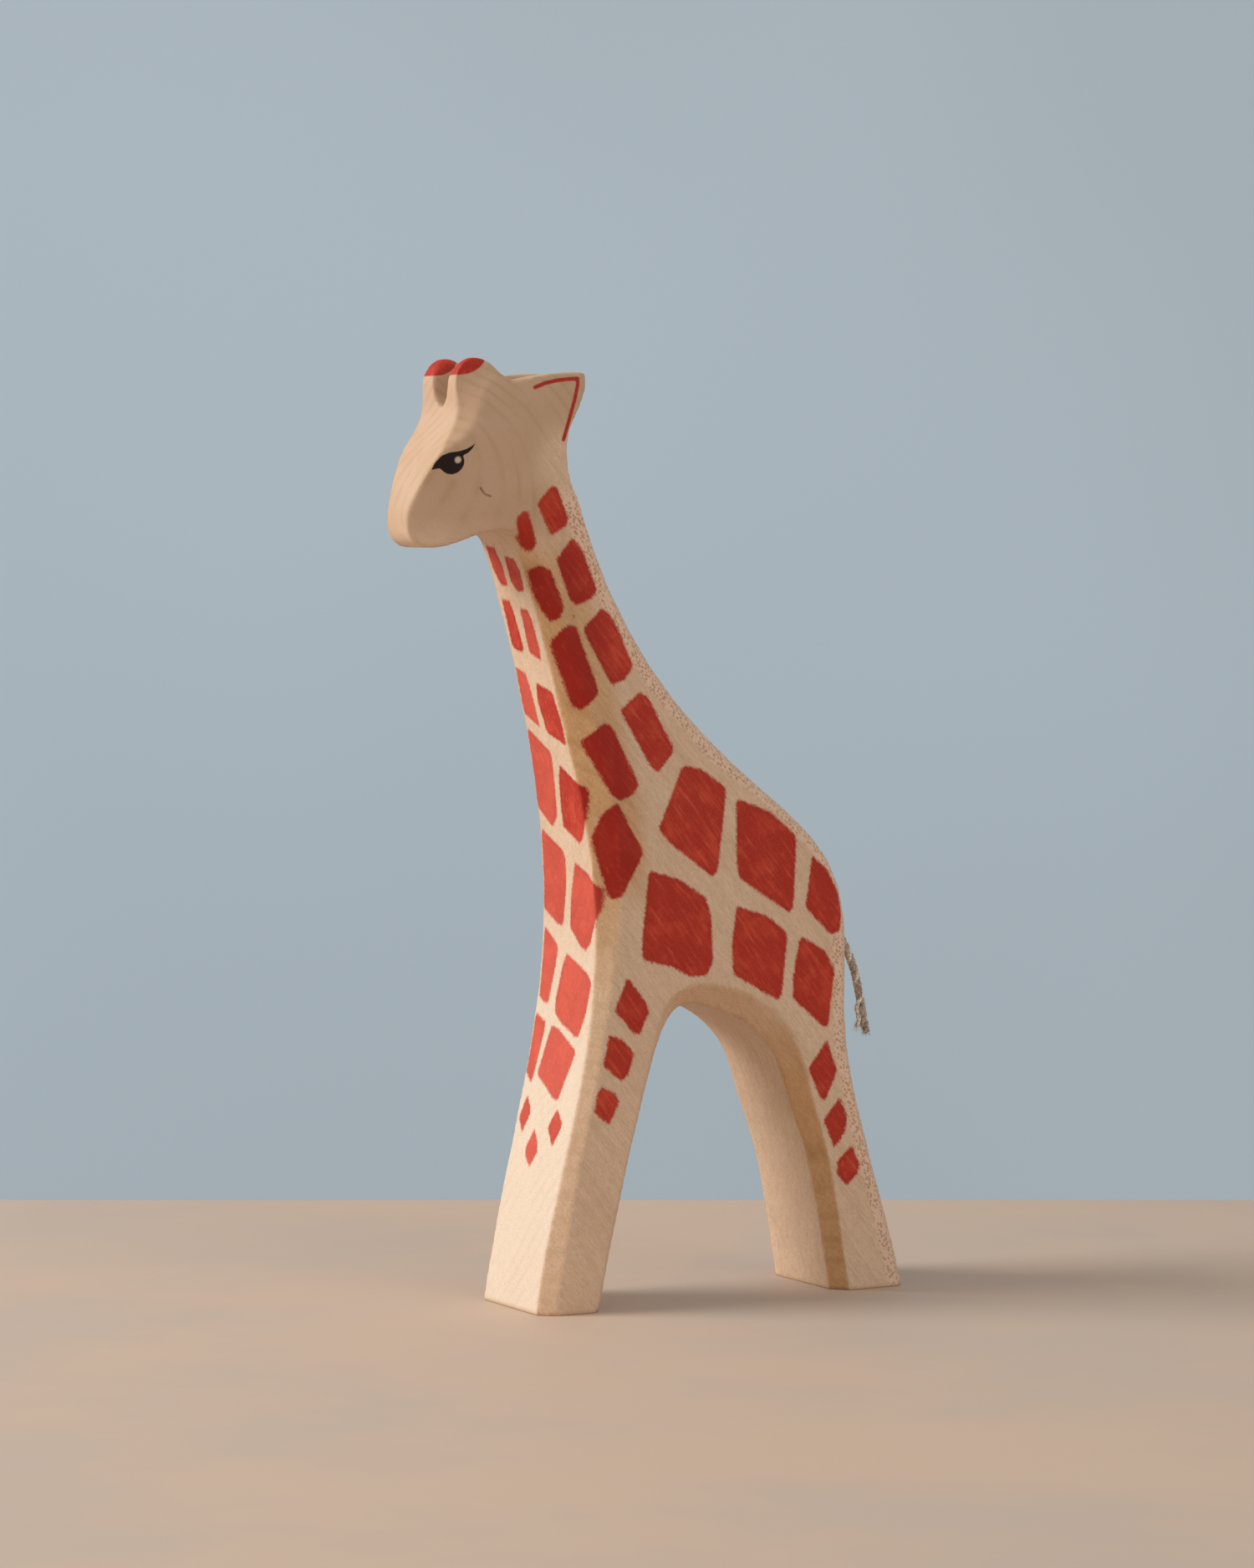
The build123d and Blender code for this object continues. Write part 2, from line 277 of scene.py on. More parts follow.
class GiraffeWood(bpy.types.PropertyGroup):
    """Sizes and colours of the carved wood."""
    voxel: length("Mesh size", "Size of the faces of the carved surface", 0.00052)
    undulation: length("Tool undulation", "Height of the faint waves left by carving and sanding", 0.00007)
    grain_tilt: bpy.props.FloatProperty(name="Grain tilt", description="Lean of the grain towards the head",
                                        default=math.radians(38), subtype="ANGLE", unit="ROTATION")
    ring_gap: length("Ring gap", "Distance between growth rings", 0.0020)
    strip: length("Back strip", "Width of the stippled strip along the back's edge", 0.0038)
    pale: colour("Pale wood", "Early wood", (0.785, 0.595, 0.435))
    deep: colour("Deep wood", "Late wood and fibres", (0.50, 0.33, 0.20))
    # painted shade: a darker, browner tint on the planed facets, which face away from both lamps
    bevel: colour("Planed facets", "Tint where a facet cuts across the grain", (0.82, 0.62, 0.38))
    blush: colour("Blush", "Broad pink areas", (0.70, 0.46, 0.36))
    head: colour("Head", "The darker wood of the head", (0.53, 0.36, 0.25))
    cloud: colour("Cloud", "Broad olive areas", (0.50, 0.33, 0.17))
    sap: colour("Sapwood", "The palest wood, low on the breast", (0.86, 0.76, 0.64))
    pores: colour("Pores", "Fine dark speckle", (0.36, 0.22, 0.13))
    # painted highlight: the strip along the back's edge is lighter, as if that edge catches the light
    strip_highlight: colour("Strip", "The pale strip along the back's edge", (0.87, 0.64, 0.50))
    tick: colour("Ticks", "The stipple in the strip", (0.42, 0.22, 0.13))
    fleck: colour("Fleck", "Small flaws in the wood", (0.20, 0.095, 0.04))


class GiraffePaint(bpy.types.PropertyGroup):
    """Colours of the paint."""
    red: colour("Red stain", "Colour of the patches", (0.43, 0.017, 0.007))
    red_thin: colour("Thin red", "Colour where the stain is thin", (0.62, 0.060, 0.026))
    red_faded: colour("Faded red", "Colour of the most worn patches, down the front", (0.76, 0.17, 0.12))
    # painted shade: the stain's colour on the planed facets, darker as if in shade
    red_in_shade: colour("Deep red", "Colour of the stain on planed facets", (0.29, 0.003, 0.0005))
    dark: colour("Eye", "Colour of the lash and iris", (0.014, 0.007, 0.008))
    light: colour("Eye light", "Colour of the eye's highlight", (0.72, 0.56, 0.47))


class GiraffeTail(bpy.types.PropertyGroup):
    """Sizes and colours of the cord tail."""
    diameter: length("Cord diameter", "Diameter of the twisted cord", 0.0016)
    lay: length("Lay length", "Length of one full twist of the plies", 0.0046)
    plies: count("Plies", "Number of grey plies beside the pale one", 3, 2, 6)
    hairs: count("Hairs", "Loose fibres along the cord", 90, 0, 2000)
    fray: length("Fray length", "Length of the loose fibres at the cut end", 0.0022)
    grey: colour("Grey ply", "Colour of most plies", (0.43, 0.35, 0.285))
    cream: colour("Pale ply", "Colour of the one pale ply", (0.72, 0.64, 0.56))


class GiraffeStage(bpy.types.PropertyGroup):
    """The studio stage."""
    camera_height: length("Camera height", "Height of the camera above the floor", 0.1489)
    camera_distance: length("Camera distance", "Horizontal distance of the camera from the figure", 0.9349)
    table_behind: length("Table behind", "How far the table reaches behind the figure", 0.130)
    key_power: amount("Key power", "Power of the large soft key light, watts", 15.5)
    fill_power: amount("Fill power", "Power of the soft side light, watts", 3.2)
    sky: amount("Room light", "Strength of the light from all round", 0.60)
    room: colour("Room", "Colour of the light from all round", (0.78, 0.72, 0.66))
    wall: colour("Wall", "Colour of the wall behind", (0.565, 0.705, 0.83))
    table: colour("Table", "Colour of the table top", (0.56, 0.455, 0.375))


# ---- shader writing

class Wire:
    """A shader socket that Python's arithmetic works on."""

    def __init__(self, tree, socket):
        self.tree = tree
        self.socket = socket

    def maths(self, operation, *values):
        return self.tree.make("ShaderNodeMath", {"operation": operation}, dict(enumerate(values)))

    def __add__(self, other):
        return self.maths("ADD", self, other)

    def __sub__(self, other):
        return self.maths("SUBTRACT", self, other)

    def __rsub__(self, other):
        return self.maths("SUBTRACT", other, self)

    def __mul__(self, other):
        return self.maths("MULTIPLY", self, other)

    def __truediv__(self, other):
        return self.maths("DIVIDE", self, other)

    __radd__ = __add__
    __rmul__ = __mul__

    def raised(self, power):
        return self.maths("POWER", self, power)

    def sine(self):
        return self.maths("SINE", self)

    def least(self, other):
        return self.maths("MINIMUM", self, other)

    def most(self, other):
        return self.maths("MAXIMUM", self, other)

    def step(self, low, high):
        """0 below low, 1 above high and smooth between."""
        return self.tree.make("ShaderNodeMapRange", {"interpolation_type": "SMOOTHSTEP"},
                              {"Value": self, "From Min": low, "From Max": high})


class Tree:
    """One material's nodes."""

    def __init__(self, name):
        self.material = bpy.data.materials.new(name)
        self.material.use_nodes = True
        self.nodes = self.material.node_tree.nodes
        self.links = self.material.node_tree.links
        self.nodes.clear()

    def make(self, kind, settings=None, sockets=None, out=0):
        """Adds a node, sets it, fills its sockets with numbers, colours or wires, and returns an output."""
        node = self.nodes.new(kind)
        for key, value in (settings or {}).items():
            setattr(node, key, value)
        for key, value in (sockets or {}).items():
            if isinstance(value, Wire):
                self.links.new(value.socket, node.inputs[key])
            else:
                node.inputs[key].default_value = value
        return Wire(self, node.outputs[out])

    def mix(self, factor, one, other, blend="MIX"):
        node = self.nodes.new("ShaderNodeMix")
        node.data_type = "RGBA"
        node.blend_type = blend
        named = {s.name + s.type: s for s in node.inputs if s.enabled}
        for key, value in (("FactorVALUE", factor), ("ARGBA", one), ("BRGBA", other)):
            if isinstance(value, Wire):
                self.links.new(value.socket, named[key])
            else:
                named[key].default_value = value if key == "FactorVALUE" else (*value, 1.0)
        return Wire(self, next(s for s in node.outputs if s.enabled))

    def parts(self, vector):
        node = self.make("ShaderNodeSeparateXYZ", sockets={"Vector": vector}).socket.node
        return [Wire(self, output) for output in node.outputs]

    def stretched(self, vector, scale):
        return self.make("ShaderNodeVectorMath", {"operation": "MULTIPLY"}, {0: vector, 1: scale})

    def noise(self, vector, scale, detail=2.0, roughness=0.5):
        return self.make("ShaderNodeTexNoise", sockets={"Vector": vector, "Scale": scale, "Detail": detail,
                                                        "Roughness": roughness})

    def attribute(self, name):
        node = self.make("ShaderNodeAttribute", {"attribute_name": name}).socket.node
        return Wire(self, node.outputs["Vector"])

    def finish(self, base, roughness, bumps=(), **plain):
        """Ends in one Principled shader. bumps are (height wire, strength, distance in metres)."""
        normal = None
        for height, strength, distance in bumps:
            sockets = {"Height": height, "Strength": strength, "Distance": distance}
            if normal:
                sockets["Normal"] = normal
            normal = self.make("ShaderNodeBump", sockets=sockets)
        sockets = {"Base Color": base, "Roughness": roughness}
        sockets.update({key.replace("_", " "): value for key, value in plain.items()})
        if normal:
            sockets["Normal"] = normal
        shader = self.make("ShaderNodeBsdfPrincipled", sockets=sockets)
        output = self.nodes.new("ShaderNodeOutputMaterial")
        self.links.new(shader.socket, output.inputs["Surface"])
        return self.material


def solid(rgb):
    return (*rgb, 1.0)


def painted_wood(wood, paint):
    """Pale close-grained wood with stain patches, a painted eye and ear lines."""
    tree = Tree("painted_wood")
    here = tree.make("ShaderNodeTexCoord", out=3)
    mm = tree.stretched(here, (1000, 1000, 1000))
    grain = tree.make("ShaderNodeVectorRotate", {"rotation_type": "X_AXIS"},
                      {"Vector": mm, "Angle": -wood.grain_tilt})

    # growth rings, seen as faint lines, and as bands where a facet cuts across them
    # the map also marks the back's strip, where a highlight is painted, and the planed facets, where shade
    # is painted
    ring_place, strip, bevel = tree.parts(tree.attribute("grain_and_painted_light_map"))
    end, head, sap = tree.parts(tree.attribute("place_map"))
    ring_wave = (ring_place / (wood.ring_gap / MM) * math.tau).sine() * 0.5 + 0.5
    ring_tone = tree.noise(tree.stretched(grain, (1, 1, 0.10)), 0.20, 2.0)
    rings = ring_wave.raised(3.5) * ring_tone.step(0.36, 0.62)

    # fibres, dust-fine speckle and, along the back's edge, close rows of ray fleck
    plain = 1.0 - head * 0.6
    fibres = tree.noise(tree.stretched(grain, (1, 1, 0.20)), 3.0, 3.0, 0.6)
    speckle = tree.noise(tree.stretched(grain, (1, 1, 0.5)), 5.5, 1.0, 0.5)
    long_fibres = tree.noise(tree.stretched(grain, (1, 1, 0.04)), 0.9, 3.0, 0.6)
    blush = tree.noise(grain, 0.05, 2.0)
    cloud = tree.noise(mm, 0.12, 3.0, 0.55)
    ticks = tree.make("ShaderNodeTexVoronoi",
                      sockets={"Vector": tree.stretched(grain, (1, 1, 0.6)), "Scale": 2.1,
                               "Randomness": 0.75})
    stipple = strip * (1.0 - ticks.step(0.24, 0.54))

    # each layer over the pale wood: how much of it shows, and its colour
    bare = wood.pale
    for share, tone in (
            (fibres.step(0.36, 0.68) * plain * 0.34, wood.deep),
            (long_fibres.step(0.44, 0.70) * plain * 0.26, wood.deep),
            (blush.step(0.36, 0.64) * (head * 0.25 + 0.2), wood.blush),
            (head * 0.72, wood.head),
            (cloud.step(0.40, 0.66) * (head * 0.16 + 0.10), wood.cloud),
            (sap * 0.6, wood.sap),
            (rings * (bevel * 0.34 + head * 0.48 + 0.11), wood.deep),
            (speckle.step(0.50, 0.70) * plain * 0.26, wood.pores),
            # painted highlight: the back's edge lighter; the stipple next is the wood's own ray fleck
            (strip * 0.6, wood.strip_highlight),
            (stipple * 0.72, wood.tick),
            (end * 0.5, wood.deep)):
        bare = tree.mix(share, bare, tone)

    # stain: a soft ragged edge along the fibres, brush streaks and blotches
    coat, worn, trim = tree.parts(tree.attribute("paint_map"))
    drag = tree.noise(tree.stretched(grain, (1, 1, 0.35)), 2.6, 3.0, 0.7) - 0.5
    covered = (coat + drag * 1.1 + (speckle - 0.5) * 0.5).step(-0.28, 0.38)
    streaks = tree.noise(tree.stretched(grain, (1, 1, 0.10)), 1.6, 4.0, 0.65)
    blotch = tree.noise(mm, 0.22, 3.0, 0.6)
    edge_pool = 1.0 - coat.step(0.2, 1.3)
    thin = streaks.step(0.44, 0.70) * 0.5 + blotch.step(0.42, 0.66) * 0.45 + worn * 0.2 - edge_pool * 0.2
    thin = thin.step(0.0, 1.1)
    red = tree.mix(thin, paint.red, paint.red_thin)
    red = tree.mix(speckle.step(0.48, 0.72) * 0.10, red, wood.deep)
    red = tree.mix(worn.step(1.0, 1.9) * 0.4, red, paint.red_faded)
    # painted shade: the stain turns deeper red on the planed facets
    red = tree.mix(bevel * 0.78, red, paint.red_in_shade)
    trim_on = (trim + drag * 0.2).step(-0.14, 0.16)
    stain = covered.most(trim_on)
    # painted shade: the planed facets darkened and browned between the lit front and the side
    bare = tree.mix(bevel * 0.85, bare, wood.bevel, "MULTIPLY")
    skin = tree.mix(stain * (0.985 - streaks.step(0.58, 0.8) * 0.11), bare, red)

    # eye and flaws
    eye, eye_light, flaw = tree.parts(tree.attribute("face_map"))
    eye_on = (eye + drag * 0.08).step(-0.07, 0.09)
    skin = tree.mix(flaw.step(-0.12, 0.16) * 0.8, skin, wood.fleck)
    skin = tree.mix(eye_on, skin, paint.dark)
    skin = tree.mix(eye_light.step(-0.18, 0.22) * 0.9, skin, paint.light)

    roughness = 0.60 + fibres * 0.10 - stain * 0.08 - eye_on * 0.14
    relief = fibres * 0.4 * plain - speckle * 0.5 * plain - stipple * 0.9 - rings * 0.15
    return tree.finish(skin, roughness, [(relief, 0.5, 0.00014)], Specular_IOR_Level=0.24)


def cord_yarn(name, tint):
    """Fuzzy cotton yarn, mottled lighter and darker than its tint."""
    tree = Tree(name)
    here = tree.make("ShaderNodeTexCoord", out=3)
    mottle = tree.noise(here, 2600.0, 3.0, 0.6)
    fine = tree.noise(here, 9000.0, 2.0, 0.6)
    light = tuple(min(1.0, part * 1.55) for part in tint)
    dark = tuple(part * 0.55 for part in tint)
    base = tree.mix(mottle.step(0.35, 0.65), dark, light)
    fuzz = [(fine, 0.5, 0.00006)]
    return tree.finish(base, 0.85 + fine * 0.1, fuzz, Sheen_Weight=0.3, Sheen_Roughness=0.5)


def dried_glue():
    """Lumpy amber wood glue."""
    tree = Tree("dried_glue")
    here = tree.make("ShaderNodeTexCoord", out=3)
    lumps = tree.noise(here, 1800.0, 2.0, 0.5)
    base = tree.mix(lumps, (0.62, 0.50, 0.30), (0.78, 0.69, 0.48))
    return tree.finish(base, 0.34 + lumps * 0.2, [(lumps, 0.4, 0.0001)])


def table_top(tint):
    """A plain matt table, a little warmer and cooler in places."""
    tree = Tree("table_top")
    here = tree.make("ShaderNodeTexCoord", out=3)
    cloudy = tree.noise(here, 9.0, 4.0, 0.6)
    fine = tree.noise(here, 160.0, 2.0, 0.5)
    warm = tuple(part * factor for part, factor in zip(tint, (1.06, 1.0, 0.94)))
    cool = tuple(part * factor for part, factor in zip(tint, (0.95, 0.96, 0.98)))
    base = tree.mix(cloudy.step(0.35, 0.65), cool, warm)
    return tree.finish(base, 0.62 + fine * 0.1)


def wall_paint(tint):
    """A plain matt wall, a little lighter and darker in places."""
    tree = Tree("wall_paint")
    here = tree.make("ShaderNodeTexCoord", out=3)
    cloudy = tree.noise(here, 1.3, 2.0, 0.5)
    dark = tuple(part * 0.96 for part in tint)
    light = tuple(part * 1.03 for part in tint)
    base = tree.mix(cloudy.step(0.35, 0.65), dark, light)
    return tree.finish(base, 0.9, Specular_IOR_Level=0.1)


# ---- mesh help

def new_object(name, mesh, *materials):
    """Puts a mesh in the scene under a name, with its materials."""
    for material in materials:
        mesh.materials.append(material)
    made = bpy.data.objects.new(name, mesh)
    bpy.context.scene.collection.objects.link(made)
    return made


def read_points(mesh):
    points = np.empty(len(mesh.vertices) * 3)
    mesh.vertices.foreach_get("co", points)
    return points.reshape(-1, 3)


def read_normals(mesh):
    normals = np.empty(len(mesh.vertices) * 3)
    mesh.vertex_normals.foreach_get("vector", normals)
    return normals.reshape(-1, 3)


def write_points(mesh, points):
    mesh.vertices.foreach_set("co", points.astype(np.float32).ravel())
    mesh.update()


def store(mesh, name, columns):
    """Keeps up to three numbers for each vertex, for the shader to read."""
    layer = mesh.attributes.new(name, "FLOAT_VECTOR", "POINT")
    values = np.stack(columns, 1).astype(np.float32)
    layer.data.foreach_set("vector", values.ravel())


def ease(values, low, high):
    """0 below low, 1 above high and smooth between."""
    t = np.clip((values - low) / (high - low), 0.0, 1.0)
    return t * t * (3.0 - 2.0 * t)


def relax(points, edges, strength, rounds):
    """Sands the surface: each round moves a vertex towards its neighbours, then part of the way back."""
    ends = np.concatenate([edges[:, 0], edges[:, 1]])
    others = np.concatenate([edges[:, 1], edges[:, 0]])
    links = np.bincount(ends, minlength=len(points))[:, None]
    for turn in range(rounds * 2):
        pull = -0.42 if turn % 2 else 0.5
        sums = [np.bincount(ends, points[others, axis], len(points)) for axis in range(3)]
        middle = np.stack(sums, 1) / links
        points = points + (middle - points) * strength[:, None] * pull
    return points


def rounded(outline, cut=0.2):
    """The outline with each corner cut off."""
    eased = []
    for here, after in zip(outline, outline[1:] + outline[:1]):
        a = np.array(here, float)
        b = np.array(after, float)
        eased += [a + (b - a) * cut, b - (b - a) * cut]
    return eased


def stroke_distance(points, stroke):
    """Distance from each point to an open stroke."""
    best = np.full(len(points), 1e9)
    for start, end in zip(stroke, stroke[1:]):
        a = np.array(start, float)
        run = np.array(end, float) - a
        t = np.clip((points - a) @ run / (run @ run), 0.0, 1.0)
        best = np.minimum(best, np.linalg.norm(points - a - t[:, None] * run, axis=1))
    return best


def inside_by(points, outline):
    """How far each point lies inside a closed outline; negative outside it."""
    outline = [tuple(corner) for corner in outline]
    near = stroke_distance(points, outline + outline[:1])
    inside = np.zeros(len(points), bool)
    for (ay, az), (by, bz) in zip(outline, outline[1:] + outline[:1]):
        if az == bz:
            continue
        crosses = (points[:, 1] < az) != (points[:, 1] < bz)
        at = ay + (points[:, 1] - az) / (bz - az) * (by - ay)
        inside ^= crosses & (points[:, 0] < at)
    return np.where(inside, near, -near)


# ---- the carving

def dense_copy(node, voxel):
    """An even, dense skin over the CAD carving."""
    rough = node.data.copy()
    shell = bmesh.new()
    shell.from_mesh(rough)
    bmesh.ops.remove_doubles(shell, verts=shell.verts, dist=MM * 0.001)
    shell.to_mesh(rough)
    shell.free()
    carrier = new_object("carving_blank", rough)
    even = carrier.modifiers.new("even", "REMESH")
    even.mode = "VOXEL"
    even.voxel_size = voxel
    graph = bpy.context.evaluated_depsgraph_get()
    mesh = bpy.data.meshes.new_from_object(carrier.evaluated_get(graph))
    bpy.data.objects.remove(carrier)
    return mesh


def edge_pairs(mesh):
    """The two vertices of each edge."""
    pairs = np.empty(len(mesh.edges) * 2, np.int64)
    mesh.edges.foreach_get("vertices", pairs)
    return pairs.reshape(-1, 2)


def plane_brow(points):
    """Planes the corner beside each horn, from the brow up."""
    x, y, z = points.T
    cut = np.interp(z, *zip(*BROW_PLANED)) * np.where(x > 0, 1.0, RIGHT_HORN_SHARE)
    turn = np.radians(np.interp(z, *zip(*BROW_TURN)))
    slant = (np.cos(turn), -np.sin(turn))
    corner = np.interp(z, *zip(*BROW_CORNER)) - cut
    beyond = slant[0] * (np.abs(x) - corner) + slant[1] * (y - np.interp(z, *zip(*BROW_LINE)))
    beyond = np.clip(beyond, 0.0, None) * (cut > 0) * (y < PLANED_FRONT)
    points[:, 0] -= np.sign(x) * slant[0] * beyond
    points[:, 1] -= slant[1] * beyond


def round_horns(points):
    """Rounds the horns' tops across, more towards the notch than outwards."""
    x, y, z = points.T
    on_horn = ease(z, *HORN_START) * (1.0 - ease(y, *HORN_OFF_EARS))
    inner = np.clip((HORN_INNER - np.abs(x)) / HORN_INNER_RUN, 0.0, 1.2)
    outer = np.clip((np.abs(x) - HORN_OUTER) / HORN_OUTER_RUN, 0.0, 1.2)
    points[:, 2] -= on_horn * (inner * inner + 0.5 * outer * outer)


def sand(mesh, wood):
    """Softens the planed edges: most on the head, neck and breast, least on the legs, back and soles."""
    points = read_points(mesh) / MM
    soles = points[:, 2] < SOLE
    edges = edge_pairs(mesh)
    z = points[:, 2]
    to_back = stroke_distance(points[:, 1:], BACK_LINE)
    points = relax(points, edges, np.full(len(points), 1.0), 1)
    breast = ease(z, *BREAST_START) * ease(to_back, *BREAST_OFF_BACK) * (1.0 - ease(z, *BREAST_STOP))
    points = relax(points, edges, breast, 9)
    plane_brow(points)

    x, y, z = points.T
    brow = ease(z, *BROW_START) * (1.0 - ease(z, *BROW_STOP)) * (1.0 - ease(y, *BROW_OFF_EARS))
    points = relax(points, edges, brow, 16)
    to_throat = np.linalg.norm(points - np.array(THROAT), axis=1) - np.abs(x) * 0.6
    points = relax(points, edges, 1.0 - ease(to_throat, *THROAT_REACH), 60)
    round_horns(points)

    # the ears' tips flare back, and their back edges are smoothed
    x, y, z = points.T
    points[:, 1] += EAR_FLARE * ease(z, *EAR_RISE) * ease(y, *EAR_RUN)
    points = relax(points, edges, ease(z, *EAR_EDGE_RISE) * ease(y, *EAR_EDGE_RUN), 8)
    points = relax(points, edges, ease(z, *HEAD_TOP), 2)

    waves = np.zeros(len(points))
    for along_y, along_z, along_x, start in WAVES:
        waves += np.sin(x * along_x + y * along_y + z * along_z + start)
    depth = (waves + len(WAVES)) / len(WAVES) * wood.undulation / MM
    points -= read_normals(mesh) * depth[:, None]
    points[soles, 2] = 0.0
    low, high = (np.array(corner) / MM for corner in CAD_BOX)
    write_points(mesh, np.clip(points, low, high) * MM)


def refine(mesh, places, cuts):
    """Divides the faces round small painted details. places are boxes in millimetres."""
    def inside(vert):
        return any(all(lo <= value / MM <= hi for value, lo, hi in zip(vert.co, low, high))
                   for low, high in places)

    fine = bmesh.new()
    fine.from_mesh(mesh)
    chosen = [edge for edge in fine.edges if all(inside(vert) for vert in edge.verts)]
    bmesh.ops.subdivide_edges(fine, edges=chosen, cuts=cuts, use_grid_fill=True)
    fine.normal_update()
    fine.to_mesh(mesh)
    fine.free()


def painted_patches(points, normals, to_back):
    """How deep each vertex lies inside a red patch, in millimetres, and how worn that patch is."""
    x, y, z = points.T
    side_view = points[:, 1:]
    coat = np.full(len(points), OUTSIDE)
    worn = np.zeros(len(points))
    draw = random.Random(SEED)

    def lay(spots, outline, limit, wear=0.0):
        outline = rounded(outline, PATCH_CORNER)
        low = np.min(outline, 0) - PATCH_MARGIN
        high = np.max(outline, 0) + PATCH_MARGIN
        near = np.nonzero(np.all((spots > low) & (spots < high), 1) & (limit > -PATCH_MARGIN))[0]
        depth = np.minimum(inside_by(spots[near], outline), limit[near])
        shade = draw.random() + wear
        better = near[depth > coat[near]]
        coat[better] = depth[depth > coat[near]]
        worn[better] = shade

    # on the right side each corner is moved a little, because no two painted sides are alike
    for side in (1, -1):
        faces_side = (normals[:, 0] * side - 0.45) * 4.0 + 6.0 * ease(to_back, 2.5, 5.0)
        reach = np.minimum(x * side - SIDE_FROM_MIDDLE, faces_side)
        for outline in SIDE_PATCHES:
            if side < 0:
                shift_y = draw.uniform(-PATCH_SHIFT, PATCH_SHIFT)
                shift_z = draw.uniform(-PATCH_SHIFT, PATCH_SHIFT)
                outline = [(at_y + shift_y + draw.uniform(-CORNER_SHIFT, CORNER_SHIFT),
                            at_z + shift_z + draw.uniform(-CORNER_SHIFT, CORNER_SHIFT))
                           for at_y, at_z in outline]
            lay(side_view, outline, reach)
    faces_front = (-normals[:, 1] - 0.22 + 0.2 * ease(z, 130.0, 135.0)) * 6.0
    reach = np.minimum(faces_front, FRONT_BACK_LIMIT - y)
    for outline in FRONT_PATCHES:
        low_down = outline[0][1] < LOW_FRONT_Z
        lay(points[:, [0, 2]], outline, reach, FRONT_WORN + LOW_FRONT_WORN * low_down)
    return coat, worn


def growth_rings(points):
    """Where each vertex lies across the growth rings, which lean along the neck and curl over the brow."""
    x, y, z = points.T
    heights = np.linspace(0.0, 180.0, 181)
    slope = np.interp(heights, *zip(*RING_LEAN))
    lean = np.concatenate([[0.0], np.cumsum((slope[1:] + slope[:-1]) / 2)])
    return 0.62 * (x - y - np.interp(z, heights, lean)) + np.sin(z * 0.11 + y * 0.07) * 1.6


def back_strip(points, normals, to_back, wood):
    """1 in the stippled strip along the back's edge, which narrows over the rump; a highlight is painted
    there too.
    """
    z = points[:, 2]
    width = wood.strip / MM * (1.0 - 0.35 * ease(z, 70.0, 82.0) * (1.0 - ease(z, 92.0, 104.0)))
    strip = (1.0 - ease(to_back - width, -0.7, 0.5)) * (1.0 - 0.6 * ease(normals[:, 1], 0.55, 0.85))
    return strip * (1.0 - ease(z, 148.0, 154.0))


def shaded_facets(points, normals):
    """1 on the facets between a sawn face and a side, less on the front leg, and on the shoulder; shade is
    painted there.
    """
    y, z = points[:, 1], points[:, 2]
    toward = np.sqrt(np.clip(-normals[:, 1], 0, 1) ** 2 + np.clip(-normals[:, 2], 0, 1) ** 2)
    sideways = np.abs(normals[:, 0])
    planed = ease(toward, 0.10, 0.55) * ease(sideways, 0.10, 0.55) * (1.0 - ease(sideways, 0.80, 1.0))
    planed *= 1.0 - 0.5 * ease(z, 38.0, 54.0) * ease(y, -8.0, -4.0)
    foreleg = (1.0 - ease(y, -6.0, -3.0)) * (1.0 - ease(z, 55.0, 85.0))
    shoulder = 1.0 - ease(stroke_distance(points[:, 1:], BREAST_LINE), 7.5, 12.5)
    shoulder *= ease(z, 70.0, 84.0) * ease(sideways, 0.4, 0.7)
    facets = np.maximum(planed * (1.0 - 0.7 * foreleg), 0.8 * shoulder)
    return facets * (1.0 - 0.8 * ease(z, 137.0, 143.0))


def paint_maps(mesh, wood):
    """Works out for each vertex what the shader paints there. Depths inside an outline are millimetres."""
    points = read_points(mesh) / MM
    normals = read_normals(mesh)
    x, y, z = points.T
    side_view = points[:, 1:]
    to_back = stroke_distance(side_view, BACK_LINE)

    coat, worn = painted_patches(points, normals, to_back)
    ear_reach = (np.abs(normals[:, 0]) - 0.5) * 4.0
    ear_line = EAR_LINE_HALF - stroke_distance(side_view, EAR_LINE)
    trim = np.maximum(inside_by(side_view, HORN_CAP), np.minimum(ear_line, ear_reach))
    store(mesh, "paint_map", [coat, worn, trim])

    off_middle = (np.abs(x) - 2.0) * 2.0
    eye = np.minimum(inside_by(side_view, rounded(EYE, 0.15)), off_middle)
    light = EYE_LIGHT_RADIUS - np.hypot(y - EYE_LIGHT[0], z - EYE_LIGHT[1])
    flaw = np.full(len(points), OUTSIDE)
    for stroke in FLAWS:
        flaw = np.maximum(flaw, FLAW_HALF - stroke_distance(points, stroke))
    store(mesh, "face_map", [eye, np.minimum(light, off_middle), flaw])

    strip = back_strip(points, normals, to_back, wood)
    store(mesh, "grain_and_painted_light_map", [growth_rings(points), strip, shaded_facets(points, normals)])

    sawn_across = ease(np.abs(normals[:, 2]), 0.93, 1.0) * (1.0 - ease(z, 1.0, 2.0))
    sole_edge = 1.0 - ease(z, 0.25, 0.9)
    head = ease(z, 138.0, 147.0) * ease(to_back, 2.0, 9.0)
    sap = ease(-normals[:, 1], 0.7, 0.9) * (1.0 - ease(z, 35.0, 95.0)) * (1.0 - ease(y, -6.0, -2.0))
    store(mesh, "place_map", [np.maximum(sawn_across, sole_edge), head, sap])


